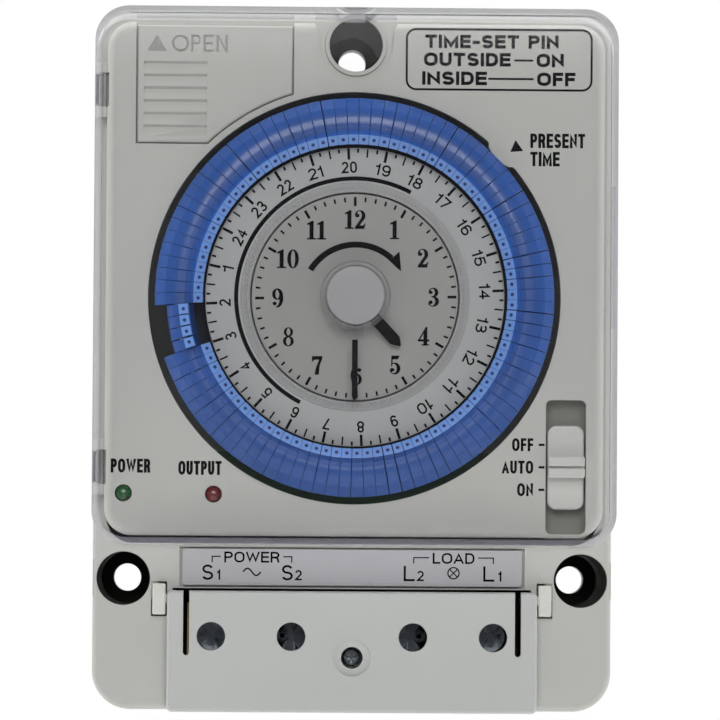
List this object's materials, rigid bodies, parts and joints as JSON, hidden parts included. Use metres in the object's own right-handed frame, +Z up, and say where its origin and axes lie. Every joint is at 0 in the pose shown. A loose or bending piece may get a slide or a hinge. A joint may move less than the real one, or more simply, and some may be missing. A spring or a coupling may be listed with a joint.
{
  "type": "programmable timer",
  "caption": "Wall-mounted 24 hour mechanical time switch: pale box, clear hinged cover, ring of blue trip pins round a clock face, mode slider and terminal cover.",
  "frame": {"origin": "centre of the back face that rests on the wall", "axes": "+Z up, -Y is the front that faces the room, +X to the right seen from the front"},
  "size_m": [0.088, 0.053, 0.1183],
  "materials": {
    "housing": "off-white ABS, fine satin grain",
    "panel": "off-white ABS, fine satin grain",
    "clear": "clear polycarbonate, glossy",
    "blue": "glossy blue plastic",
    "dial": "pale grey dial plastic",
    "white": "off-white nylon",
    "black": "black plastic",
    "label": "grey label strip",
    "movement": "natural acetal",
    "steel": "zinc plated steel",
    "brass": "brass",
    "board": "green solder mask",
    "relay": "blue relay case",
    "battery": "nickel plated can",
    "led_green": "tinted green lens",
    "led_red": "tinted red lens"
  },
  "bodies": {
    "housing": {"rear_housing": "housing", "front_panel": "panel", "cover_hinge_pin_upper": "steel", "cover_hinge_pin_lower": "steel", "movement_plate_rear": "steel", "movement_plate_middle": "steel", "motor": "steel", "clock_face": "dial", "microswitch": "black", "capacitor": "black", "slide_switch_body": "black", "terminal_block": "black", "movement_bridge": "movement", "terminal_plate_1": "brass", "terminal_plate_2": "brass", "terminal_plate_3": "brass", "terminal_plate_4": "brass", "terminal_screw_1": "steel", "terminal_screw_2": "steel", "terminal_screw_3": "steel", "terminal_screw_4": "steel", "circuit_board": "board", "relay": "relay", "backup_battery": "battery", "led_power": "led_green", "led_output": "led_red", "cover_clip_left": "white", "cover_clip_right": "white", "terminal_label": "label"},
    "cover": {"clear_cover": "clear"},
    "battery_door": {"battery_door": "panel"},
    "mode_slider": {"switch_slider": "white"},
    "minute_works": {"setting_knob": "clear", "minute_hand": "black", "minute_arbor": "steel", "centre_wheel": "movement"},
    "hour_works": {"hour_wheel": "movement", "hour_hand": "black"},
    "dial": {"dial_ring": "dial", "trip_pin_set": "blue", "pin_pivot_wire": "steel"},
    "intermediate": {"intermediate_wheel": "movement"},
    "idler": {"idler_wheel": "movement"},
    "pinion": {"motor_pinion": "brass"},
    "follower": {"follower_lever": "movement"},
    "terminal_lid": {"terminal_cover": "housing", "terminal_cover_screw": "steel"},
    "trip_pin_1": {"trip_pin_1": "blue"},
    "trip_pin_2": {"trip_pin_2": "blue"},
    "trip_pin_3": {"trip_pin_3": "blue"},
    "trip_pin_4": {"trip_pin_4": "blue"},
    "trip_pin_5": {"trip_pin_5": "blue"},
    "trip_pin_6": {"trip_pin_6": "blue"},
    "trip_pin_7": {"trip_pin_7": "blue"},
    "trip_pin_8": {"trip_pin_8": "blue"}
  },
  "joints": [
    {"name": "a_cover_hinge", "type": "hinge", "parent": "housing", "child": "cover", "pos_m": [-0.0426, -0.0381, 0.014], "axis": [0, 0, -1], "range_deg": [0, 100]},
    {"name": "b_setting_knob_turn", "type": "hinge", "parent": "housing", "child": "minute_works", "pos_m": [0, -0.02, 0.0108], "axis": [0, 1, 0], "continuous": true},
    {"name": "c_mode_switch_slide", "type": "slide", "parent": "housing", "child": "mode_slider", "axis": [0, 0, 1], "range_m": [-0.0038, 0.0038]},
    {"name": "d_battery_door_slide", "type": "slide", "parent": "housing", "child": "battery_door", "axis": [0, 0, 1], "range_m": [0, 0.0005]},
    {"name": "e_terminal_cover_lift", "type": "slide", "parent": "housing", "child": "terminal_lid", "axis": [0, -1, 0], "range_m": [0, 0.022]},
    {"name": "f_follower_rock", "type": "hinge", "parent": "housing", "child": "follower", "pos_m": [0.02654, -0.0372, 0.03715], "axis": [0.7046, 0, -0.7096], "range_deg": [0, 4]},
    {"name": "hour_works_turn", "type": "hinge", "parent": "housing", "child": "hour_works", "pos_m": [0, -0.025, 0.0108], "axis": [0, 1, 0], "continuous": true},
    {"name": "dial_turn", "type": "hinge", "parent": "housing", "child": "dial", "pos_m": [0, -0.038, 0.0108], "axis": [0, 1, 0], "continuous": true},
    {"name": "intermediate_turn", "type": "hinge", "parent": "housing", "child": "intermediate", "pos_m": [0.018, -0.02, 0.0108], "axis": [0, 1, 0], "continuous": true},
    {"name": "idler_turn", "type": "hinge", "parent": "housing", "child": "idler", "pos_m": [-0.018, -0.027, 0.0108], "axis": [0, 1, 0], "continuous": true},
    {"name": "motor_pinion_turn", "type": "hinge", "parent": "housing", "child": "pinion", "pos_m": [0, -0.015, 0.0324], "axis": [0, 1, 0], "continuous": true},
    {"name": "trip_pin_1_flip", "type": "hinge", "parent": "dial", "child": "trip_pin_1", "pos_m": [-0.0299, -0.045, 0.0083], "axis": [0.0832, 0, -0.9965], "range_deg": [-40, 0]},
    {"name": "trip_pin_2_flip", "type": "hinge", "parent": "dial", "child": "trip_pin_2", "pos_m": [-0.02967, -0.045, 0.00635], "axis": [0.1482, 0, -0.989], "range_deg": [-40, 0]},
    {"name": "trip_pin_3_flip", "type": "hinge", "parent": "dial", "child": "trip_pin_3", "pos_m": [-0.02931, -0.045, 0.00442], "axis": [0.2126, 0, -0.9771], "range_deg": [-40, 0]},
    {"name": "trip_pin_4_flip", "type": "hinge", "parent": "dial", "child": "trip_pin_4", "pos_m": [-0.02883, -0.045, 0.00252], "axis": [0.2761, 0, -0.9611], "range_deg": [-40, 0]},
    {"name": "trip_pin_5_flip", "type": "hinge", "parent": "dial", "child": "trip_pin_5", "pos_m": [-0.02823, -0.045, 0.00065], "axis": [0.3383, 0, -0.941], "range_deg": [0, 40]},
    {"name": "trip_pin_6_flip", "type": "hinge", "parent": "dial", "child": "trip_pin_6", "pos_m": [-0.02751, -0.045, -0.00117], "axis": [0.3991, 0, -0.9169], "range_deg": [0, 40]},
    {"name": "trip_pin_7_flip", "type": "hinge", "parent": "dial", "child": "trip_pin_7", "pos_m": [-0.02667, -0.045, -0.00295], "axis": [0.4583, 0, -0.8888], "range_deg": [0, 40]},
    {"name": "trip_pin_8_flip", "type": "hinge", "parent": "dial", "child": "trip_pin_8", "pos_m": [-0.02571, -0.045, -0.00466], "axis": [0.5154, 0, -0.8569], "range_deg": [0, 40]}
  ],
  "couplings": [
    {"joint": "hour_works_turn", "follows": "b_setting_knob_turn", "ratio": 0.083333},
    {"joint": "dial_turn", "follows": "b_setting_knob_turn", "ratio": 0.041667},
    {"joint": "intermediate_turn", "follows": "b_setting_knob_turn", "ratio": -0.33333},
    {"joint": "idler_turn", "follows": "b_setting_knob_turn", "ratio": -0.083333},
    {"joint": "motor_pinion_turn", "follows": "b_setting_knob_turn", "ratio": -5}
  ]
}
